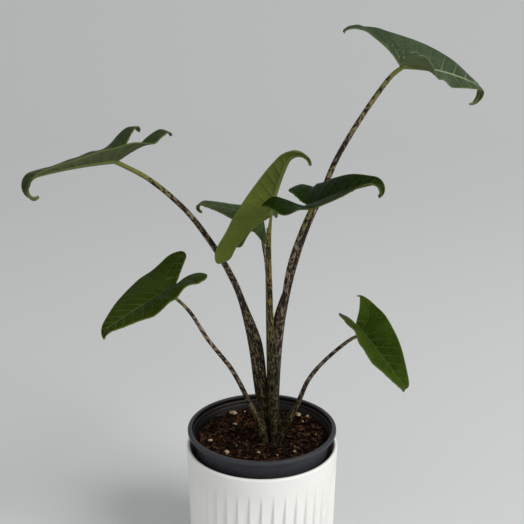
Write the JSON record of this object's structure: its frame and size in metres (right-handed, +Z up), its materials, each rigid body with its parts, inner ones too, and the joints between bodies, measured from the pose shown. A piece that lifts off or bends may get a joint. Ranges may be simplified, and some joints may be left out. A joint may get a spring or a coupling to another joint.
{
  "type": "potted alocasia zebrina",
  "caption": "Young alocasia with arrow-shaped leaves on long zebra-marked stalks, in a black nursery pot set in a pleated white cover pot.",
  "frame": {"origin": "centre of the cover pot's flat underside", "axes": "+Z up along the pots' axis; +X to the right and +Y away, seen from the front, where the middle leaf shows its underside"},
  "size_m": [0.3464, 0.2299, 0.4347],
  "materials": {
    "cover_pot": "satin",
    "nursery_pot": "satin",
    "soil": "matte",
    "stalk": "satin",
    "young_stalk": "satin",
    "leaf": "satin",
    "young_leaf": "satin"
  },
  "bodies": {
    "root": {"cover_pot": "cover_pot", "nursery_pot": "nursery_pot", "soil": "soil", "stalk_left": "stalk", "stalk_tall": "stalk", "stalk_middle": "young_stalk", "stalk_right": "stalk", "stalk_back": "stalk", "stalk_low_left": "stalk", "stalk_low_right": "stalk", "leaf_left": "leaf", "leaf_tall": "leaf", "leaf_middle": "young_leaf", "leaf_right": "leaf", "leaf_back": "leaf", "leaf_low_left": "leaf", "leaf_low_right": "leaf"}
  },
  "joints": []
}
